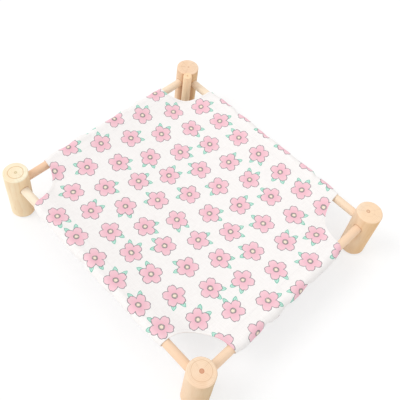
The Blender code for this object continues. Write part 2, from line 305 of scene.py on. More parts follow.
def wood_material(name, light, dark, warm, ring_pitch, ring_strength, pith_tone=0.5, pith_line=0.3,
                  pith_colour=colour(204, 146, 108), heart_tone=0.35, side=None, streak=0.16,
                  check_line=None):
    """Solid pine: rings about the grain's own axis, fibres along it, knots and pith. The "grain" attribute
    is a place in the tree, with z along the grain. "core" holds the radius of the pith, the radius of the
    heartwood and 1 where the grain ends. "knot" is the distance to the nearest knot's axis. "shade" is 1
    where painted shade darkens the wood: round the rails' seats and beside the peg. side is the colour of
    painted shade that all but the ends are tinted with, most on the side that faces away from the key lamp,
    and streak how dark their streaks are. check_line is a crack in the end, as its bearing and its reach
    from the pith."""
    shader = Shader(name, Specular_IOR_Level=0.2)
    ramp, line, calc = shader.ramp, shader.line, shader.math
    place = shader.attribute("grain")
    pith_radius, heart_radius, end = shader.split(shader.attribute("core"))
    knot = shader.attribute("knot", "Fac")
    x, y, _ = shader.split(place)

    def along_grain(share, *settings):
        """Noise that is drawn out along the grain."""
        return shader.noise(shader.scaled(place, (1, 1, share)), *settings)

    # The rings, which bulge round the knots
    warp = along_grain(0.22, 34, 3) - 0.5
    radius = calc("SQRT", x * x + y * y)
    bulge = calc("EXPONENT", knot * knot * -16000.0) * 0.007
    ring_radius = radius + warp * 0.0062 + bulge
    phase = calc("FRACT", ring_radius / ring_pitch)
    late = ramp(phase, 0.25, 0.93) - ramp(phase, 0.93, 1.0)
    late = late * ramp(along_grain(0.1, 90, 1), 0.3, 0.7, 0.35, 1.0) * ring_strength

    patches = along_grain(0.35, 24, 2)
    fibres = along_grain(0.035, 1100, 3, 0.6)
    streaks = along_grain(0.03, 160, 2)
    if len(light) > 4:  # three tones, from one end of the piece to the other
        blend = shader.attribute("tone", "Fac")
        light = shader.mix(blend - 1, shader.mix(blend, light[:4], light[4:8]), light[8:])
        warm = shader.mix(0.6, warm, light)
    tone = shader.mix(ramp(patches, 0.35, 0.68), light, warm)
    inside_heart = ramp(ring_radius, heart_radius, heart_radius - 0.0012)
    tone = shader.cover(
        tone,
        (inside_heart * 0.35, warm),
        (late, dark),
        (ramp(fibres, 0.52, 0.8, 0.0, 0.28), dark),
        (ramp(streaks, 0.55, 0.75, 0.0, streak) * (1 - end), dark),
    )

    # A darker line round the heartwood, and hairline checks out from the pith, where the grain ends
    heart_line = line(ring_radius - heart_radius)
    ray = (calc("ARCTAN2", y, x) + shader.noise(place, 120, 2) * 0.5) * (9 / math.tau)
    which = shader.add("ShaderNodeTexWhiteNoise", [("W", calc("FLOOR", ray) + heart_radius)],
                       noise_dimensions="1D")
    check = line((calc("FRACT", ray) - 0.5) * radius, 0.0004, 0.0001) * ramp(which, 0.62, 0.66) * end
    check = check * ramp(radius, pith_radius, pith_radius + 0.004)
    tone = shader.cover(tone, (heart_line * heart_tone * end, dark), (check * 0.4, dark))
    if check_line:
        bearing, reach = check_line
        out = x * math.cos(bearing) + y * math.sin(bearing)
        off = y * math.cos(bearing) - x * math.sin(bearing) + (shader.noise(place, 160, 2) - 0.5) * 0.004
        crack = line(off, 0.0008, 0.0002) * ramp(out, 0.004, 0.008) * ramp(out, reach, reach - 0.006) * end
        tone = shader.mix(crack * 0.55, tone, colour(184, 132, 94))

    in_pith = ramp(radius + warp * 0.002, pith_radius, pith_radius - 0.0008)
    pith_edge = line(radius - pith_radius * 0.8)
    knot_edge = line(knot - 0.0036)
    in_knot = ramp(knot, 0.0044, 0.0032)
    tone = shader.cover(
        tone,
        (in_pith * pith_tone + pith_edge * in_pith * pith_line, pith_colour),
        (in_knot * 0.5 + knot_edge * 0.25, colour(176, 118, 76)),
    )
    # Painted shade: all but the ends are tinted with side, most on the side that faces away from the key lamp
    if side:
        facing = (x * math.cos(SHADED_SIDE_BEARING) + y * math.sin(SHADED_SIDE_BEARING)) / radius
        tone = shader.mix((1 - end) * (facing * 0.27 + 0.3), tone, side)
    # Painted shade: darker and browner where the shade attribute marks the rails' seats and the peg's side
    tone = shader.mix(shader.attribute("shade", "Fac") * 0.85, tone, colour(178, 116, 68))

    relief = fibres * 0.55 - late * 0.5 - check * 1.5 - in_knot * 0.3
    return shader.finish(tone, ramp(fibres, 0.3, 0.8, 0.5, 0.68) + end * 0.12, relief, 0.00035, 0.6)


def put(name, data):
    """A new object in the scene."""
    obj = bpy.data.objects.new(name, data)
    bpy.context.scene.collection.objects.link(obj)
    return obj


def put_mesh(name, points, faces):
    mesh = bpy.data.meshes.new(name)
    mesh.from_pydata(points, [], faces)
    return put(name, mesh)


def smooth(mesh, degrees=35):
    """Shades a mesh smooth but for the edges that are sharper than an angle."""
    mesh.shade_smooth()
    mesh.set_sharp_from_angle(angle=math.radians(degrees))


def add_mesh(name, bm, degrees=35):
    """A new object from a bmesh."""
    bmesh.ops.recalc_face_normals(bm, faces=bm.faces)
    mesh = bpy.data.meshes.new(name)
    bm.to_mesh(mesh)
    bm.free()
    smooth(mesh, degrees)
    return put(name, mesh)


def apply_modifiers(obj):
    bpy.context.view_layer.update()
    evaluated = obj.evaluated_get(bpy.context.evaluated_depsgraph_get())
    mesh = bpy.data.meshes.new_from_object(evaluated)
    obj.modifiers.clear()
    obj.data = mesh
    return mesh


def carve(obj, cutters):
    """Cuts the cutters out of obj, for good, and removes them."""
    for cutter in cutters:
        boolean = obj.modifiers.new(cutter.name, "BOOLEAN")
        boolean.operation = "DIFFERENCE"
        boolean.solver = "EXACT"
        boolean.object = cutter
    smooth(apply_modifiers(obj))
    for cutter in cutters:
        bpy.data.objects.remove(cutter)


def dress(obj, material):
    """Puts a material on the whole of a piece."""
    obj.data.materials.clear()
    obj.data.materials.append(material)


def finish_piece(obj, slot, *nodes):
    """Joins a piece to the frame."""
    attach(obj, "root")
    if nodes:
        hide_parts(*nodes)
    return obj


def rounding(radius, level, up, rim, steps):
    """The quarter circle of a rim, as (radius, height) pairs."""
    pairs = []
    for k in range(steps + 1):
        angle = math.pi / 2 * k / steps
        if up > 0:
            pairs.append((radius - rim * (1 - math.cos(angle)), level - rim * (1 - math.sin(angle))))
        else:
            pairs.append((radius - rim * (1 - math.sin(angle)), level + rim * (1 - math.cos(angle))))
    return pairs


def rod_side(radius, low, high, foot_rim, top_rim, pitch, steps):
    """The side of a rod with rounded rims, from its foot up, as (radius, height) pairs."""
    start, end = low + foot_rim, high - top_rim
    count = max(1, round((end - start) / pitch))
    side = [(radius, start + (end - start) * k / count) for k in range(1, count)]
    return rounding(radius, low, -1, foot_rim, steps) + side + rounding(radius, high, 1, top_rim, steps)


def to_world(origin, direction):
    """Turns +Z to a direction, and moves to an origin."""
    return Matrix.Translation(origin) @ direction.to_track_quat("Z", "Y").to_matrix().to_4x4()


def turned(name, profile, sides, place, swell=None):
    """A new object: (radius, height) pairs spun round +Z, from one centre to the other. swell(angle,
    height) adds to the radius of the outer points."""
    bm = bmesh.new()
    widest = max(r for r, _ in profile)
    rings = []
    for r, h in profile:
        if r == 0:
            rings.append([bm.verts.new(place @ Vector((0, 0, h)))])
            continue
        ring = []
        for k in range(sides):
            angle = math.tau * k / sides
            out = r + (swell(angle, h) * (r / widest) ** 2 if swell else 0)
            ring.append(bm.verts.new(place @ Vector((out * math.cos(angle), out * math.sin(angle), h))))
        rings.append(ring)
    for first, second in zip(rings, rings[1:]):
        for k in range(sides):
            after = (k + 1) % sides
            corners = [first[k % len(first)], first[after % len(first)]]
            corners += [second[after % len(second)], second[k % len(second)]]
            bm.faces.new(list(dict.fromkeys(corners)))
    return add_mesh(name, bm)


def log_swell(seed, amount):
    """The small unevenness of a peeled pole, as a function of angle and height."""
    draw = random.Random(seed)
    waves = [
        (n, draw.uniform(-9, 9), draw.uniform(0, math.tau), draw.uniform(0.5, 1) / n**0.8)
        for n in (2, 3, 5, 8, 12)
    ]

    def swell(angle, height):
        total = sum(share * math.cos(n * angle + turn * height + start) for n, turn, start, share in waves)
        spot = Vector((math.cos(angle), math.sin(angle), height * 14)) * 1.6
        return amount * (total * 0.5 + 0.5 * noise.noise(spot + Vector((seed * 7.3, 0, 0))) - 0.35)

    return swell


def write_attribute(obj, name, values):
    """Gives each point of a piece a number or a vector."""
    values = np.array(values)
    kind, field = ("FLOAT_VECTOR", "vector") if values.ndim == 2 else ("FLOAT", "value")
    obj.data.attributes.new(name, kind, "POINT").data.foreach_set(field, values.ravel())


def mark_grain(obj, place, centre, length, pith, heart, knots, seed):
    """Writes where each point lies in the tree: place turns +Z along the grain, and centre is where the
    rings' middle lies across it. knots are (height, bearing) pairs."""
    back = place.inverted()
    points = [back @ v.co for v in obj.data.vertices]
    rows = [(p.x - centre[0], p.y - centre[1], p.z + seed * 1.7) for p in points]
    cores = [(pith, heart, float(p.z > length - END_DEPTH or p.z < END_DEPTH)) for p in points]
    nearest = []
    for p in points:
        away = 1.0
        for height, bearing in knots:
            out = Vector((math.cos(bearing), math.sin(bearing), 0.25)).normalized()
            from_root = Vector((p.x, p.y, p.z - height))
            along = from_root.dot(out)
            if along > 0:
                away = min(away, (from_root - along * out).length)
        nearest.append(away)
    write_attribute(obj, "grain", rows)
    write_attribute(obj, "core", cores)
    write_attribute(obj, "knot", nearest)


def ways_from(corner):
    """The directions of the two rails that meet in a corner's post, from there."""
    others = [s.end if corner == s.start else s.start for s in SIDES if corner in (s.start, s.end)]
    return [(AXES[other] - AXES[corner]).normalized() for other in others]


def mark_corners(post, corner):
    """Writes how much painted shade darkens each point of a post: round the seats of the rails, and beside
    the peg.
    """
    at_peg, peg_radius = middle("corner_peg"), size("corner_peg").x / 2
    values = []
    for point in [v.co for v in post.data.vertices]:
        value = 0.0
        from_post = point - AXES[corner]
        # Painted shade in a ring round each rail's seat
        for way in ways_from(corner):
            along, sideways = from_post.dot(way), from_post.dot(Vector((-way.y, way.x, 0)))
            if along > 0:
                off = math.hypot(sideways, point.z - RAIL_LEVEL) - RAIL_RADIUS
                value = max(value, 0.8 * (1 - clip(abs(off) / 0.0022)))
        # Painted shade beside the peg, reaching further below the rails
        if corner == PEG_CORNER:
            off = (point.xy - at_peg.xy).length - peg_radius
            reach = 0.010 + 0.010 * clip((RAIL_LEVEL + 0.005 - point.z) / 0.02)
            value = max(value, 1 - clip((off - 0.001) / reach))
        values.append(value if point.z < POST_TOP - 0.001 else 0.0)
    write_attribute(post, "shade", values)


def seat_cutters(corner):
    """The seats for the rails' ends, with the screws' holes beyond them."""
    radius = POST_RADII[corner]
    seat = radius - SEAT_DEPTH
    hole_end = seat - SCREW_IN_POST - CLEARANCE
    screw, rail = SCREW_RADIUS + CLEARANCE, RAIL_RADIUS + CLEARANCE
    profile = [(0, hole_end), (screw, hole_end), (screw, seat)]
    profile += [(rail, seat), (rail, radius * 2), (0, radius * 2)]
    origin = AXES[corner] + Vector((0, 0, RAIL_LEVEL))
    return [turned("seat_cutter", profile, SEAT_SIDES, to_world(origin, way)) for way in ways_from(corner)]


def pin_cutters():
    """The holes for the peg's two pins."""
    cutters = []
    for node in ("corner_peg_upper_pin", "corner_peg_lower_pin"):
        half = size(node).z / 2
        across = size(node).x - half * 2 * abs(PEG_DIRECTION.y)
        reach, radius = across / abs(PEG_DIRECTION.x) / 2 + CLEARANCE, half + CLEARANCE
        profile = [(0, -reach), (radius, -reach), (radius, reach), (0, reach)]
        cutters.append(turned("pin_cutter", profile, PIN_SIDES, to_world(middle(node), PEG_DIRECTION)))
    return cutters


def add_posts(materials):
    for corner, (seed, centre, pith, heart, knots) in POST_LOOKS.items():
        radius = POST_RADII[corner]
        profile = [(0, POST_FOOT)] + [(radius * k / 5, POST_FOOT) for k in range(1, 5)]
        profile += rod_side(radius, POST_FOOT, POST_TOP, POST_FOOT_RIM, POST_TOP_RIM, pitch=0.0032, steps=5)
        profile += [(radius * k / 6, POST_TOP) for k in range(5, 0, -1)] + [(0, POST_TOP)]
        swell = log_swell(seed, POST_SWELL)
        post = turned(f"{corner}_log", profile, POST_SIDES, Matrix.Translation(AXES[corner]), swell)
        carve(post, seat_cutters(corner) + (pin_cutters() if corner == PEG_CORNER else []))
        place = Matrix.Translation(AXES[corner] + Vector((0, 0, POST_FOOT)))
        knots = [(height - POST_FOOT, bearing) for height, bearing in knots]
        mark_grain(post, place, centre, POST_TOP - POST_FOOT, pith, heart, knots, seed)
        mark_corners(post, corner)
        dress(post, materials[corner])
        finish_piece(post, "post_wood", f"{corner}_post")


def add_rails(material):
    for number, side in enumerate(SIDES):
        length = max(size(side.rail))
        origin = middle(side.rail) - side.along * length / 2
        place = to_world(origin, side.along)
        profile = rod_side(RAIL_RADIUS, 0, length, RAIL_RIM, RAIL_RIM, pitch=0.008, steps=3)
        profile = [(0, 0), *profile, (0, length)]
        rail = turned(f"{side.rail}_dowel", profile, ROD_SIDES, place, log_swell(20 + number, RAIL_SWELL))
        centre = (0.016 - 0.009 * (number % 3), 0.011 + 0.004 * number)
        mark_grain(rail, place, centre, length, 0.0, PLAIN_HEART, [], 30 + number)
        first, last = RAIL_TONES[side.rail]
        shares = [(v.co - origin).dot(side.along) / length for v in rail.data.vertices]
        write_attribute(rail, "tone", [first + (last - first) * share for share in shares])
        dress(rail, material)
        finish_piece(rail, "rail_wood", side.rail)


def add_peg(material):
    low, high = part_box("corner_peg")
    radius, length, hole = (high.x - low.x) / 2, high.z - low.z, PEG_HOLE_RADIUS
    profile = [(0, 0)] + rod_side(radius, 0, length, PEG_RIM, PEG_RIM, pitch=0.005, steps=4)
    profile += [(radius * 0.6, length), (hole + 0.0006, length), (hole, length - 0.0005)]
    profile += [(hole, length - PEG_HOLE_DEPTH), (0, length - PEG_HOLE_DEPTH)]
    place = Matrix.Translation(Vector(((low.x + high.x) / 2, (low.y + high.y) / 2, low.z)))
    peg = turned("corner_stick", profile, ROD_SIDES, place, log_swell(41, PEG_SWELL))
    carve(peg, pin_cutters())
    mark_grain(peg, place, (0.0045, -0.013), length, 0.0, PLAIN_HEART, [(0.035, 2.9)], 44)
    dress(peg, material)
    finish_piece(peg, "rail_wood", "corner_peg")


def facing(pair, direction):
    """A pair of values along X and Y, as the one along a direction and the one square to it."""
    return pair if abs(direction.x) > abs(direction.y) else pair[::-1]


def cut_reaches(corner, direction):
    """Reach of a corner's cut-out along a direction, and square to it, on the cloth's upper side."""
    upper = [reach - slant / 2 for reach, slant in zip(CORNER_CUTS[corner], SLEEVE_SLANTS[corner])]
    return facing(upper, direction)


def on_side(side, share, depth, turned_under=0.0):
    """A point beside a rail: a share of the way along the cloth, and depth in from the rail's axis.
    turned_under goes from 0 on top of the rail to 1 on the sleeve's lower side."""
    ends = []
    for corner in (side.start, side.end):
        reach, square = cut_reaches(corner, side.along)
        slant = facing(SLEEVE_SLANTS[corner], side.along)[0]
        ends.append(reach * math.sqrt(1 - (depth / square) ** 2) + slant * turned_under)
    length = side.length - ends[0] - ends[1]
    return side.origin + side.along * (ends[0] + share * length) + side.inward * depth


def on_cut(side, share, depth, beyond=0.0):
    """A point on the cut-out where a side ends: a share of the way from depth in from its rail to depth in
    from the next, and beyond the edge into the cloth."""
    reach, square = [value + beyond for value in cut_reaches(side.end, side.along)]
    first, last = math.asin(depth / square), math.acos(depth / reach)
    angle = first + (last - first) * share
    return AXES[side.end] - reach * math.cos(angle) * side.along + square * math.sin(angle) * side.inward


def side_shares(side, steps=600):
    """How far along its side each column of the cloth lies, from 0 to 1, closer together at the tucks."""
    first, last = [(on_side(side, share, 0.0) - side.origin).length for share in (0, 1)]
    marks = [0.0]
    for k in range(steps):
        at = first + (last - first) * (k + 0.5) / steps
        crowding = sum(2.2 * math.exp(-(((at - tuck) / 0.014) ** 2)) for tuck in side.tucks)
        marks.append(marks[-1] + (1 + crowding))
    cells = SIDE_CELLS[side.rail]
    return np.interp(np.arange(cells + 1) / cells * marks[-1], marks, np.linspace(0, 1, steps + 1)).tolist()


def edge_distance(point):
    """Roughly how far a point of the cloth is from the nearest cut-out."""
    nearest = 1.0
    for corner in CORNERS:
        reach_x, reach_y = cut_reaches(corner, Vector((1, 0)))
        x, y = point.x - AXES[corner].x, point.y - AXES[corner].y
        away = math.hypot(x, y)
        nearest = min(nearest, away - away / math.hypot(x / reach_x, y / reach_y))
    return nearest


def cloth_level(x, y):
    """Height of the middle of the cloth's thickness, between the rails."""
    middle_y = (AXES["front_right"].y + AXES["back_right"].y) / 2
    half_x, half_y = AXES["front_right"].x, AXES["back_right"].y - middle_y
    across, along = 1 - (x / half_x) ** 2, 1 - ((y - middle_y) / half_y) ** 2
    return RAIL_LEVEL + SLEEVE_RADIUS - CLOTH_SAG * across * along


def panel_plan():
    """The panel inside the seams seen from above, as a grid of points with a notch at each corner. The
    boundary is fixed and the rest is spread evenly. Returns the points, which of them there are, and the
    spots in the grid along each side."""
    n = NOTCH_CELLS
    columns, rows = [SIDE_CELLS[rail] + 2 * n for rail in ("front_rail", "right_rail")]
    used = np.ones((columns + 1, rows + 1), bool)
    for i in (slice(0, n), slice(-n, None)):
        for j in (slice(0, n), slice(-n, None)):
            used[i, j] = False

    def spot(number, along, depth):
        """A place in the grid, seen from one of its sides."""
        return (
            (along, depth), (columns - depth, along), (columns - along, rows - depth), (depth, rows - along)
        )[number]

    # The boundary, counter-clockwise: each side, and the cut-out at its end
    fixed, walks = {}, []
    for number, side in enumerate(SIDES):
        last = n + SIDE_CELLS[side.rail]
        walks.append([spot(number, along, 0) for along in range(n, last + 1)])
        turn = [spot(number, last, k) for k in range(n + 1)]
        turn += [spot(number, last + k, n) for k in range(1, n + 1)]
        for share, at in zip(side_shares(side), walks[-1]):
            fixed[at] = on_side(side, share, SLEEVE_SEAM)
        for k, at in enumerate(turn):
            fixed[at] = on_cut(side, k / (len(turn) - 1), SLEEVE_SEAM)

    plan = np.zeros((columns + 1, rows + 1, 2))
    low, high = AXES["front_left"].xy, AXES["back_right"].xy
    plan[..., 0] = np.linspace(low.x + SLEEVE_SEAM, high.x - SLEEVE_SEAM, columns + 1)[:, None]
    plan[..., 1] = np.linspace(low.y + SLEEVE_SEAM, high.y - SLEEVE_SEAM, rows + 1)[None, :]
    free = used.copy()
    for (i, j), point in fixed.items():
        plan[i, j] = point.xy
        free[i, j] = False
    inner = free[1:-1, 1:-1]
    for _ in range(RELAX_STEPS):
        mean = (plan[:-2, 1:-1] + plan[2:, 1:-1] + plan[1:-1, :-2] + plan[1:-1, 2:]) / 4
        plan[1:-1, 1:-1][inner] = mean[inner]
    return plan, used, walks


def strip_quads(rows):
    """The faces between rows of point numbers."""
    pairs = zip(rows, rows[1:])
    return [[row[k], after[k], after[k + 1], row[k + 1]] for row, after in pairs for k in range(len(row) - 1)]


def cloth_grid():
    """The cloth's points without the sleeves, the faces between them, and for each side the rows of points
    from its seam to the top of the rail, as numbers of points."""
    plan, used, walks = panel_plan()
    points, index = [], {}
    for i, j in np.ndindex(used.shape):
        if used[i, j]:
            index[i, j] = len(points)
            x, y = plan[i, j]
            points.append(Vector((x, y, cloth_level(x, y))))
    quads = []
    for i, j in np.ndindex(used.shape[0] - 1, used.shape[1] - 1):
        spots = [(i, j), (i + 1, j), (i + 1, j + 1), (i, j + 1)]
        if all(spot in index for spot in spots):
            quads.append([index[spot] for spot in spots])
    # The strips between the seams and the rails
    strips = []
    for side, walk in zip(SIDES, walks):
        rows = [[index[spot] for spot in walk]]
        for step in range(1, STRIP_CELLS + 1):
            depth = SLEEVE_SEAM + (PANEL_EDGE - SLEEVE_SEAM) * step / STRIP_CELLS
            rows.append([])
            for share in side_shares(side):
                point = on_side(side, share, depth)
                point.z = cloth_level(point.x, point.y)
                rows[-1].append(len(points))
                points.append(point)
        quads += strip_quads(rows)
        strips.append(rows)
    return points, quads, strips


def waves_along(seed, shortest, longest):
    """Uneven waves along a sleeve, from 0 to 1, at a distance along it."""
    draw = random.Random(seed)
    waves = [
        (draw.uniform(shortest, longest), draw.uniform(0, math.tau), draw.uniform(0.5, 1)) for _ in range(7)
    ]
    total = sum(share for _, _, share in waves)

    def height(at):
        value = sum(share * math.cos(math.tau * at / pitch + start) for pitch, start, share in waves) / total
        return clip(0.5 + 1.1 * value)

    return height


def filled(value, full, at, tucks, reach):
    """A value that rises to full within reach of a tuck."""
    return value + (full - value) * max(math.exp(-(((at - place) / reach) ** 2)) for place in tucks)


def tucked(at, turn, tucks):
    """How far a sleeve is drawn in by its tucks, from 0 to 1. Each is a crease that runs slanting round the
    rail, and is steeper towards the rail's end."""
    total = 0.0
    for place in tucks:
        away = at - place - TUCK_SLANT * (turn - 1.6)
        total += math.exp(-((abs(away) / TUCK_WIDTHS[away >= 0]) ** 1.3))
    return clip(total)


def fold_edges(points, strips):
    """Draws the pinned edge on each rail up in small folds. Returns how high, for each side."""
    folds = []
    for number, (rows, side) in enumerate(zip(strips, SIDES)):
        fold = waves_along(60 + number, *FOLD_PITCHES)
        places = [(points[k].xy - side.origin.xy).length for k in rows[-1]]
        folds.append([
            filled(fold(at), 1.5, at, side.tucks, 0.03) * (1 - tucked(at, 0.0, side.tucks)) for at in places
        ])
        for k, height in zip(rows[-1], folds[-1]):
            points[k].z = RAIL_LEVEL + (SLEEVE_RADIUS + FOLD_RISE * height) * math.sin(WRAP_START)
    return folds


def hang(points, quads, strips, plan):
    """Lets the cloth hang between its pinned edges by simulation, and returns the points' places."""
    obj = put_mesh("hanging_cloth", points, quads)
    obj.vertex_groups.new(name="pinned").add([k for rows in strips for k in rows[-1]], 1.0, "REPLACE")
    obj.shape_key_add(name="placed")
    key = obj.shape_key_add(name="flat")
    for point, place in zip(key.data, plan):
        point.co = (place.x * CLOTH_EXCESS[0], place.y * CLOTH_EXCESS[1], 0)
    key.value = 0.0
    cloth = obj.modifiers.new("Cloth", "CLOTH")
    for name, value in CLOTH_SETTINGS.items():
        setattr(cloth.settings, name, value)
    cloth.settings.vertex_group_mass = "pinned"
    cloth.settings.rest_shape_key = key
    cloth.collision_settings.use_collision = False
    cloth.collision_settings.use_self_collision = False
    scene = bpy.context.scene
    cloth.point_cache.frame_start = scene.frame_start = 1
    cloth.point_cache.frame_end = scene.frame_end = CLOTH_FRAMES
    for number in range(1, CLOTH_FRAMES + 1):
        scene.frame_set(number)
    evaluated = obj.evaluated_get(bpy.context.evaluated_depsgraph_get())
    places = [v.co.copy() for v in evaluated.data.vertices]
    scene.frame_set(1)
    bpy.data.objects.remove(obj)
    return places


def sleeve_section(side, share, seam, edge, fold, bulge, shift):
    """A section through a sleeve, from the top of the rail round it and back under the seam, as places in
    from the rail's axis, up from it and along it. seam and edge are the panel's points that it joins.
    bulge and shift tell how far it stands off the rail, and where round it most."""
    # The section leans, because a sleeve's ends lie further from the posts underneath than on top
    top, lower = on_side(side, share, PANEL_EDGE), on_side(side, share, PANEL_EDGE, 1.0)
    begin, slant = (edge - side.origin).dot(side.along), (lower - top).dot(side.along)
    # The sleeve's ends lie close to the rail
    loose = 1 - 0.8 * math.exp(-((min(share, 1 - share) * side.length / 0.022) ** 2))
    radius = SLEEVE_RADIUS + FOLD_RISE * fold
    # From the seam's underside to where the lower layer leaves the rail
    below = Vector(((seam - side.origin).dot(side.inward), seam.z - RAIL_LEVEL - CLOTH_THICKNESS * 1.12))
    leaves = math.tau + math.atan2(below.y, below.x) - math.acos(SLEEVE_RADIUS / below.length)
    section = []
    for step in range(1, WRAP_CELLS + 1):
        turn = step / WRAP_CELLS
        angle = WRAP_START + (leaves - WRAP_START) * turn
        at = begin + slant * math.sin(math.pi / 2 * clip(turn * 1.25))
        # The sleeve is a little too wide: its outer and lower side stand off the rail unevenly
        spread = math.sin(math.pi * turn ** (1.0 + 0.5 * shift(at)))
        stands = loose * (0.2 + 0.8 * filled(bulge(at), 1.0, at, side.tucks, 0.045))
        stands *= 1 - 0.97 * tucked(at, angle - WRAP_START, side.tucks)
        r = radius + (SLEEVE_RADIUS - radius) * turn + SLEEVE_SLACK * stands * spread
        section.append((r * math.cos(angle), r * math.sin(angle), at))
    last = Vector(section[-1][:2])
    droop = 0.0012 * bulge(at + 0.03) * loose
    for step in range(1, LOWER_CELLS + 1):
        spot = last.lerp(below, step / LOWER_CELLS)
        section.append((spot.x, spot.y - droop * math.sin(math.pi * step / LOWER_CELLS), at))
    for step in range(1, ALLOWANCE_CELLS + 1):
        further = SEAM_ALLOWANCE * step / ALLOWANCE_CELLS
        section.append((below.x + further, below.y - 0.17 * further - 0.0002 * step, at))
    return section


def add_sleeve(side, edge, sections, points, flat):
    """Adds a sleeve's points to the cloth's, in place and on the flat cloth. Returns the rows of their
    numbers, from the edge on top of the rail."""
    rows = [edge]
    for step in range(len(sections[0])):
        row = []
        for section, before in zip(sections, rows[-1]):
            depth, height, at = section[step]
            row.append(len(points))
            up = Vector((0, 0, RAIL_LEVEL + height))
            points.append(side.origin + side.along * at + side.inward * depth + up)
            gone = points[-1] - points[before]
            slid = gone.dot(side.along)
            further = math.sqrt(max(gone.length_squared - slid**2, 0.0))
            flat.append(flat[before] - side.inward * further + side.along * slid)
        rows.append(row)
    return rows


def build_cloth(simulate):
    """The cloth's middle surface with its sleeves, as an object, each point's flat place and the faces."""
    points, quads, strips = cloth_grid()
    plan = [point.copy() for point in points]
    folds = fold_edges(points, strips)
    if simulate:
        points = hang(points, quads, strips, plan)
    else:
        for rows, heights in zip(strips, folds):
            for step, row in enumerate(rows[:-1]):
                for k, height in zip(row, heights):
                    points[k].z += FOLD_RISE * (step + 1) / len(rows) * (height - 0.4)

    # The cut-outs' edges droop, but not beside the rails
    for point in points:
        depth = min(min(abs(point.x - axis.x), abs(point.y - axis.y)) for axis in AXES.values())
        held = clip((depth - SLEEVE_SEAM) / 0.035)
        point.z -= HEM_DROOP * math.exp(-max(edge_distance(point), 0.0) / 0.05) * held * held * (3 - 2 * held)

    flat = [Vector((p.x, p.y, 0.0)) for p in plan]
    for number, (side, rows, heights) in enumerate(zip(SIDES, strips, folds)):
        bulge, shift = waves_along(80 + number, *BULGE_PITCHES), waves_along(90 + number, *SHIFT_PITCHES)
        sections = [
            sleeve_section(side, share, points[seam], points[edge], fold, bulge, shift)
            for share, seam, edge, fold in zip(side_shares(side), rows[0], rows[-1], heights)
        ]
        quads += strip_quads(add_sleeve(side, rows[-1], sections, points, flat))
    obj = put_mesh("printed_cloth", points, quads)
    write_attribute(obj, "flat", flat)
    return obj, flat, quads


def flat_size(flat, quads):
    """Width and length of the rectangle that the cloth is cut from, and the area of the cut."""
    xs, ys = [p.x for p in flat], [p.y for p in flat]
    area = 0.0
    for quad in quads:
        corners = [flat[k] for k in quad]
        twice = sum(a.x * b.y - b.x * a.y for a, b in zip(corners, corners[1:] + corners[:1]))
        area += abs(twice) / 2
    return max(xs) - min(xs), max(ys) - min(ys), area


def print_layers(shader, x, y):
    """A scattered print of five-petalled blossoms with two leaves: the share of outline, petal, leaf and
    flower centre at a place on the flat cloth, and the distance from the blossom's middle."""
    ramp, calc = shader.ramp, shader.math
    drift_x, drift_y, _ = shader.split(shader.noise(shader.join(x, y, 0.0), 70, 1, output="Color"))
    x = x + (drift_x - 0.5) * 0.0022 + PRINT_SHIFT[0]
    y = y + (drift_y - 0.5) * 0.0022 + PRINT_SHIFT[1]
    column = calc("FLOOR", x / PRINT_PITCH)
    shifted = y + calc("FRACT", column * 0.5) * PRINT_PITCH
    row = calc("FLOOR", shifted / PRINT_PITCH)
    chance = shader.add("ShaderNodeTexWhiteNoise", [("Vector", shader.join(column, row, 0.0))],
                        output="Color", noise_dimensions="3D")
    first, second, third = shader.split(chance)
    local_x = x - (column + 0.5) * PRINT_PITCH - (first - 0.5) * 0.0036
    local_y = shifted - (row + 0.5) * PRINT_PITCH - (second - 0.5) * 0.0044
    cosine, sine = calc("COSINE", third * math.tau), calc("SINE", third * math.tau)
    u = local_x * cosine + local_y * sine
    v = local_y * cosine - local_x * sine

    out = calc("SQRT", u * u + v * v)
    sector = math.tau / 5
    bearing = calc("ARCTAN2", v, u) + math.tau
    folded = calc("MODULO", bearing + sector / 2, sector) - sector / 2
    petal_x = (out * calc("COSINE", folded) - PETAL_REACH * 0.60) / 0.44
    petal_y = out * calc("SINE", folded) / 0.385
    tip = ramp(abs(petal_y), PETAL_REACH * 0.45, 0.0, 0.0, 0.16) * ramp(petal_x, 0.0, PETAL_REACH)
    petal = calc("SQRT", petal_x * petal_x + petal_y * petal_y) + tip * PETAL_REACH
    petal = (petal - PETAL_REACH) * 0.41
    heart = out - PETAL_REACH * 0.24

    def one_leaf(lean):
        """The distance from a leaf's edge, and its vein."""
        c, s = math.cos(math.pi + lean), math.sin(math.pi + lean)
        leaf_x = u * c + v * s - LEAF_OUT
        leaf_y = v * c - u * s
        arc = (LEAF_HALF_LENGTH**2 + LEAF_HALF_WIDTH**2) / (2 * LEAF_HALF_WIDTH)
        across = abs(leaf_y) + (arc - LEAF_HALF_WIDTH)
        edge = calc("SQRT", leaf_x * leaf_x + across * across) - arc
        return edge, shader.line(leaf_y, 0.0005, 0.0002) * ramp(leaf_x, 0.006, 0.004)

    (left, left_vein), (right, right_vein) = one_leaf(-LEAF_LEAN), one_leaf(LEAF_LEAN)
    leaf, veins = calc("MINIMUM", left, right), calc("MAXIMUM", left_vein, right_vein)
    line_width = ramp(shader.noise(shader.join(x, y, 0.0), 150, 1), 0.3, 0.7, 0.00052, 0.00085)

    def inside(distance):
        return ramp(distance, 0.00012, -0.00012)

    def outline(distance):
        return ramp(abs(distance) - line_width, 0.0001, -0.0001)

    in_petal, in_leaf = inside(petal), inside(leaf)
    return {
        "petal": in_petal,
        "petal line": calc("MAXIMUM", outline(petal), outline(heart)),
        "leaf": in_leaf * (1 - in_petal),
        "leaf line": calc("MAXIMUM", outline(leaf), veins * in_leaf) * (1 - in_petal),
        "heart": inside(heart),
        "out": out / PETAL_REACH,
    }


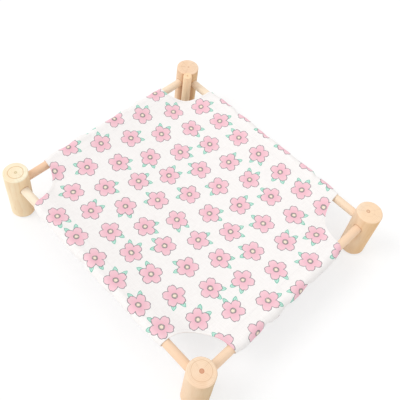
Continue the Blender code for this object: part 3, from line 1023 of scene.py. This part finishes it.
def cloth_material(name, ink):
    """Cotton in plain weave with its print, of which ink is the strength."""
    shader = Shader(name, Specular_IOR_Level=0.2, Sheen_Weight=0.12, Sheen_Roughness=0.5)
    ramp, calc = shader.ramp, shader.math
    place = shader.attribute("flat")
    x, y, _ = shader.split(place)
    over = calc("FLOOR", x / WEAVE_PITCH) + calc("FLOOR", y / WEAVE_PITCH)
    over = calc("MODULO", abs(over), 2.0)
    warp, weft = [calc("SINE", calc("FRACT", value / WEAVE_PITCH) * math.pi) for value in (x, y)]
    weave = warp * over + weft * (1 - over)
    slubs = shader.noise(shader.scaled(place, (1, 0.06, 1)), 900, 2) * 0.5
    slubs = slubs + shader.noise(shader.scaled(place, (0.06, 1, 1)), 900, 2) * 0.5
    creases = shader.noise(place, 28, 4, 0.55)

    layers = print_layers(shader, x, y)
    pink = shader.mix(ramp(layers["out"], 0.25, 1.0), colour(247, 194, 207), colour(251, 208, 217))
    tone = shader.mix(ramp(slubs, 0.4, 0.65), colour(253, 250, 248), colour(247, 243, 241))
    tone = shader.cover(
        tone,
        (layers["leaf"] * ink, colour(192, 238, 222)),
        (layers["leaf line"] * ink, colour(124, 196, 174)),
        (layers["petal"] * ink, pink),
        (layers["heart"] * ink, colour(252, 236, 214)),
        (layers["petal line"] * (ink * 0.85), colour(126, 122, 128)),
        (ramp(weave, 0.0, 0.5, 0.10, 0.0), colour(212, 202, 200)),
    )
    relief = weave * 0.5 + slubs * 0.6 + creases * 2.2
    return shader.finish(tone, ramp(slubs, 0.3, 0.7, 0.78, 0.92), relief, 0.00028, 0.5)


def thread_material():
    shader = Shader("cotton_thread", Specular_IOR_Level=0.3, Sheen_Weight=0.2)
    twist = shader.math("SINE", shader.attribute("along", "Fac") * (math.tau / THREAD_TWIST))
    tone = shader.mix(shader.ramp(twist, -1, 1), colour(228, 222, 222), colour(248, 245, 245))
    return shader.finish(tone, shader.ramp(twist, -1, 1, 0.75, 0.6), twist, 0.0001, 0.6)


def steel_material():
    shader = Shader("zinc_plated_steel", Metallic=1.0)
    cloud = shader.noise(shader.add("ShaderNodeTexCoord", output="Object"), 400, 3)
    tone = shader.mix(cloud, colour(188, 190, 196), colour(214, 214, 210))
    return shader.finish(tone, shader.ramp(cloud, 0.3, 0.7, 0.25, 0.42), cloud, 0.0001, 0.3)


def felt_material():
    shader = Shader("brown_felt", Specular_IOR_Level=0.15, Sheen_Weight=0.3)
    place = shader.add("ShaderNodeTexCoord", output="Object")
    fibres = shader.noise(shader.scaled(place, (1, 0.4, 1)), 1600, 4, 0.65)
    tufts = shader.noise(place, 350, 3)
    tone = shader.mix(fibres, colour(128, 116, 100), colour(172, 160, 142))
    return shader.finish(tone, shader.ramp(tufts, 0.3, 0.7, 0.88, 1.0), fibres + tufts, 0.0006, 0.8)


def layer_cloth(obj):
    """Gives the cloth its thickness, with a thicker hem along the cut-outs."""
    smoother = obj.modifiers.new("Smoother", "SUBSURF")
    smoother.levels = smoother.render_levels = 1
    smoother.boundary_smooth = "ALL"
    finer = apply_modifiers(obj)
    hem = obj.vertex_groups.new(name="hem")
    for vertex in finer.vertices:
        hem.add([vertex.index], clip((HEM_WIDTH + 0.0012 - edge_distance(vertex.co)) / 0.0012), "REPLACE")
    solid = obj.modifiers.new("Thickness", "SOLIDIFY")
    solid.thickness = CLOTH_THICKNESS * HEM_THICKENING
    solid.offset = 0.0
    solid.vertex_group = "hem"
    solid.thickness_vertex_group = 1 / HEM_THICKENING
    solid.material_offset = 1
    solid.material_offset_rim = 0
    smooth(apply_modifiers(obj), 55)


def add_cloth():
    """Returns the cloth, and the width, length and area of its flat sheet."""
    obj, flat, quads = build_cloth(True)
    obj.data.materials.append(cloth_material("printed_cotton", 1.0))
    obj.data.materials.append(cloth_material("printed_cotton_back", 0.16))
    layer_cloth(obj)
    return finish_piece(obj, "cloth", "hammock_cloth"), flat_size(flat, quads)


def stitch_paths(cloth):
    """Along the seams inside the rails and inside the hems of the cut-outs, above and below, as lists of
    (point, normal) pairs."""
    tree = BVHTree.FromObject(cloth, bpy.context.evaluated_depsgraph_get())
    paths = []
    for side in SIDES:
        seam = [on_side(side, 0.004 + 0.992 * k / 240, SLEEVE_SEAM) for k in range(241)]
        hem = [on_cut(side, k / 120, 0.0, HEM_WIDTH - 0.0008) for k in range(121)]
        for spots in (seam, hem):
            for start, turn in ((0.3, -1), (-0.1, 1)):
                way = Vector((0, 0, turn))
                hits = [tree.ray_cast(Vector((spot.x, spot.y, start)), way) for spot in spots]
                paths.append([hit[:2] for hit in hits if hit[0] is not None])
    return paths


def add_stitches(paths, material):
    """Rows of short stitches."""
    bm = bmesh.new()
    marks_along = []
    pitch = STITCH_LENGTH + STITCH_GAP
    for path in paths:
        points, normals = zip(*path)
        marks = [0.0]
        for a, b in zip(points, points[1:]):
            marks.append(marks[-1] + (b - a).length)

        def at(distance):
            k = min(max(np.searchsorted(marks, distance) - 1, 0), len(points) - 2)
            share = (distance - marks[k]) / max(marks[k + 1] - marks[k], 1e-9)
            return points[k].lerp(points[k + 1], share), normals[k].lerp(normals[k + 1], share).normalized()

        count = int(marks[-1] // pitch)
        for number in range(count):
            begin = (marks[-1] - count * pitch + STITCH_GAP) / 2 + number * pitch
            rings = []
            for share, rise, thick in STITCH_SHAPE:
                point, normal = at(begin + share * STITCH_LENGTH)
                ahead, _ = at(begin + share * STITCH_LENGTH + 0.0002)
                across = normal.cross((ahead - point).normalized()).normalized()
                ring = []
                for k in range(THREAD_SIDES):
                    angle = math.tau * k / THREAD_SIDES
                    offset = (math.cos(angle) * across + math.sin(angle) * normal) * THREAD_RADIUS * thick
                    ring.append(bm.verts.new(point + normal * rise * THREAD_RADIUS + offset))
                    marks_along.append(number * pitch + share * STITCH_LENGTH + k * 0.0001)
                rings.append(ring)
            for ring, after in zip(rings, rings[1:]):
                for k in range(THREAD_SIDES):
                    beside = (k + 1) % THREAD_SIDES
                    bm.faces.new((ring[k], ring[beside], after[beside], after[k]))
            bm.faces.new(rings[0])
            bm.faces.new(rings[-1])
    made = add_mesh("seam_stitches", bm, 60)
    write_attribute(made, "along", marks_along)
    dress(made, material)
    return finish_piece(made, "cloth")


def add_camera():
    data = bpy.data.cameras.new("camera")
    data.lens, data.sensor_width = CAMERA_LENS, SENSOR_WIDTH
    data.shift_x, data.shift_y = CAMERA_SHIFT
    data.clip_start, data.clip_end = 0.05, 50
    camera = put("camera", data)
    camera.location = CAMERA_PLACE
    camera.rotation_euler = CAMERA_TURN
    bpy.context.scene.camera = camera


def feed_by_ray(tree, socket, rays, others, named):
    """Gives a socket one value for the named rays and another for all others."""
    path = tree.nodes.new("ShaderNodeLightPath")
    share = path.outputs[rays[0]]
    for ray in rays[1:]:
        either = tree.nodes.new("ShaderNodeMath")
        either.operation = "MAXIMUM"
        tree.links.new(share, either.inputs[0])
        tree.links.new(path.outputs[ray], either.inputs[1])
        share = either.outputs[0]
    level = tree.nodes.new("ShaderNodeMapRange")
    level.inputs["To Min"].default_value = others
    level.inputs["To Max"].default_value = named
    tree.links.new(share, level.inputs["Value"])
    tree.links.new(level.outputs[0], socket)


def add_studio():
    """A white floor that keeps a soft shadow, a large soft key lamp from the photograph's left, and an even
    pale surround."""
    bm = bmesh.new()
    bmesh.ops.create_circle(bm, cap_ends=True, segments=96, radius=6)
    floor = add_mesh("studio_floor", bm)
    material = bpy.data.materials.new("studio_floor")
    material.use_nodes = True
    tree = material.node_tree
    tree.nodes.clear()
    kinds = ("OutputMaterial", "BsdfDiffuse", "Emission", "AddShader")
    output, diffuse, glow, total = [tree.nodes.new(f"ShaderNode{kind}") for kind in kinds]
    feed_by_ray(tree, diffuse.inputs["Color"], ["Is Camera Ray"], FLOOR_TO_OTHERS, FLOOR_SEEN)
    feed_by_ray(tree, glow.inputs["Strength"], ["Is Camera Ray"], 0.0, FLOOR_GLOW_SEEN)
    tree.links.new(diffuse.outputs[0], total.inputs[0])
    tree.links.new(glow.outputs[0], total.inputs[1])
    tree.links.new(total.outputs[0], output.inputs["Surface"])
    floor.data.materials.append(material)

    world = bpy.data.worlds.new("studio")
    world.use_nodes = True
    bpy.context.scene.world = world
    background = world.node_tree.nodes["Background"]
    background.inputs["Color"].default_value = (1, 1, 1, 1)
    rays = ["Is Camera Ray", "Is Glossy Ray", "Is Transmission Ray"]
    feed_by_ray(world.node_tree, background.inputs["Strength"], rays, SURROUND_STRENGTH, 1.0)

    lamp = bpy.data.lights.new("key", "SUN")
    lamp.energy, lamp.angle = KEY_STRENGTH, KEY_SPREAD
    key = put("key", lamp)
    key.rotation_euler = Vector(KEY_FROM).to_track_quat("Z", "Y").to_euler()


def main():
    add_camera()
    add_studio()
    peach, peach_warm = colour(252, 226, 198), colour(250, 217, 185)
    cream, cream_warm = colour(255, 247, 221), colour(255, 237, 205)
    dark, brown_dark = colour(216, 170, 124), colour(204, 150, 104)
    # Each post's side colour is painted shade on all but its ends, strongest on the side away from the key
    # lamp
    add_posts({
        "front_left": wood_material("post_pine_near", peach, dark, peach_warm, 0.0027, 0.3, 0.75, 0.25,
                                    colour(210, 142, 108), heart_tone=0.4, side=colour(178, 149, 78)),
        "front_right": wood_material("post_pine_right", peach, dark, colour(253, 222, 188), 0.0027, 0.2,
                                     0.35, 0.6, heart_tone=0.15, side=colour(225, 170, 79)),
        "back_right": wood_material("post_pine_far", peach, brown_dark, peach_warm, 0.0027, 0.25, 0.4, 0.1,
                                    heart_tone=0.15, side=colour(213, 159, 63), check_line=(2.3, 0.021)),
        "back_left": wood_material("post_pine_left", cream, colour(226, 184, 132), cream_warm, 0.0031, 0.35,
                                   0.5, 0.4, colour(206, 182, 130), heart_tone=0.9,
                                   side=colour(248, 198, 134), streak=0.35),
    })
    rail_tones = (*colour(255, 245, 225), *colour(248, 213, 182), *colour(242, 196, 162))
    add_rails(wood_material("rail_pine", rail_tones, colour(226, 184, 140), colour(250, 222, 192),
                            0.0024, 0.18))
    peg_wood = wood_material("peg_pine", colour(255, 231, 197), colour(255, 198, 148), colour(255, 222, 181),
                             0.0024, 0.3)
    add_peg(peg_wood)
    kinds = {"_screw": steel_material(), "_foot_pad": felt_material(), "_pin": peg_wood}
    for name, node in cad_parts.items():
        for ending, material in kinds.items():
            if name.endswith(ending):
                dress(node, material)
        if name.endswith("_pin"):
            place = to_world(middle(name), PEG_DIRECTION)
            mark_grain(node, place, (0.004, 0.003), 1.0, 0.0, PLAIN_HEART, [], 50)
    cloth, (width, length, area) = add_cloth()
    stitches = add_stitches(stitch_paths(cloth), thread_material())
    bpy.context.scene.view_settings.view_transform = "Standard"


main()
